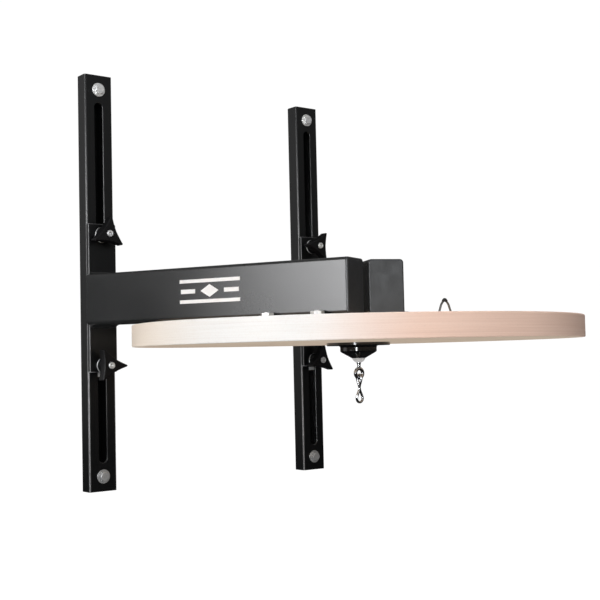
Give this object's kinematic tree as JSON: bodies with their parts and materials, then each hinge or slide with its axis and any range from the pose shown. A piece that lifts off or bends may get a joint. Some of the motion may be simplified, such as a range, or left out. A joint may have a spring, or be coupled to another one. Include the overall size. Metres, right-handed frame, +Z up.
{
  "type": "speed bag platform",
  "caption": "Wall-mounted speed bag platform: round maple rebound board under two angled tube arms, height-adjustable on slotted rails with clamp knobs and a ball swivel.",
  "frame": {"origin": "centre of the four wall bolts, on the wall surface that the rails rest on", "axes": "+Y into the wall, +Z up, +X to the right of a person facing the wall; the board stands out along -Y"},
  "size_m": [0.6095, 0.7098, 0.635],
  "materials": {
    "black_powder_coat": "semi-gloss black powder coat",
    "black_gloss_coat": "smooth gloss black powder coat",
    "black_plastic_cap": "moulded black plastic, fine texture",
    "black_knob_plastic": "moulded black plastic, semi-gloss",
    "black_oxide": "black oxide on steel",
    "white_vinyl": "plain white vinyl",
    "maple": "clear satin lacquer on pale maple",
    "zinc": "bright zinc plating",
    "steel_wire": "dull steel wire",
    "black_rubber": "black rubber sleeve",
    "nylon": "natural nylon",
    "chrome": "polished chrome plating"
  },
  "bodies": {
    "wall_rails": {"left_rail": "black_powder_coat", "right_rail": "black_powder_coat", "wall_lag_bolts": "zinc", "wall_bolt_washers": "zinc"},
    "drum_frame": {"left_mount_plate": "black_powder_coat", "right_mount_plate": "black_powder_coat", "left_arm": "black_gloss_coat", "right_arm": "black_gloss_coat", "left_arm_end_cap": "black_plastic_cap", "right_arm_end_cap": "black_plastic_cap", "left_arm_decal": "white_vinyl", "right_arm_decal": "white_vinyl", "drum_board": "maple", "board_bolts": "zinc", "board_spacers": "zinc", "board_tabs": "black_gloss_coat", "board_nuts": "zinc", "storage_loop": "steel_wire", "storage_loop_sleeve": "black_rubber", "clamp_bolts": "zinc", "clamp_backing_plates": "zinc", "clamp_washers": "zinc", "swivel_housing": "black_gloss_coat", "swivel_screws": "black_oxide", "swivel_seat_ring": "nylon"},
    "left_upper_knob": {"left_upper_knob": "black_knob_plastic", "left_upper_knob_insert": "zinc"},
    "left_lower_knob": {"left_lower_knob": "black_knob_plastic", "left_lower_knob_insert": "zinc"},
    "right_upper_knob": {"right_upper_knob": "black_knob_plastic", "right_upper_knob_insert": "zinc"},
    "right_lower_knob": {"right_lower_knob": "black_knob_plastic", "right_lower_knob_insert": "zinc"},
    "swivel_ball": {"swivel_ball": "zinc"},
    "hook_stem": {"hook_stem": "chrome"},
    "hook_link": {"hook_link": "chrome"}
  },
  "joints": [
    {"name": "height_slide", "type": "slide", "parent": "wall_rails", "child": "drum_frame", "axis": [0, 0, 1], "range_m": [-0.139, 0.195]},
    {"name": "left_upper_knob_turn", "type": "hinge", "parent": "drum_frame", "child": "left_upper_knob", "pos_m": [-0.2032, -0.045, 0.07], "axis": [0, -1, 0], "range_deg": [0, 540]},
    {"name": "left_lower_knob_turn", "type": "hinge", "parent": "drum_frame", "child": "left_lower_knob", "pos_m": [-0.2032, -0.045, -0.128], "axis": [0, -1, 0], "range_deg": [0, 540]},
    {"name": "right_upper_knob_turn", "type": "hinge", "parent": "drum_frame", "child": "right_upper_knob", "pos_m": [0.2032, -0.045, 0.07], "axis": [0, -1, 0], "range_deg": [0, 540]},
    {"name": "right_lower_knob_turn", "type": "hinge", "parent": "drum_frame", "child": "right_lower_knob", "pos_m": [0.2032, -0.045, -0.128], "axis": [0, -1, 0], "range_deg": [0, 540]},
    {"name": "ball_tilt", "type": "hinge", "parent": "drum_frame", "child": "swivel_ball", "pos_m": [0, -0.385, -0.1223], "axis": [0, 1, 0], "range_deg": [-20, 20]},
    {"name": "stem_spin", "type": "hinge", "parent": "swivel_ball", "child": "hook_stem", "pos_m": [0, -0.385, -0.1223], "axis": [0, 0, 1], "continuous": true},
    {"name": "link_swing", "type": "hinge", "parent": "hook_stem", "child": "hook_link", "pos_m": [0, -0.385, -0.1522], "axis": [1, 0, 0], "range_deg": [-75, 75]}
  ]
}
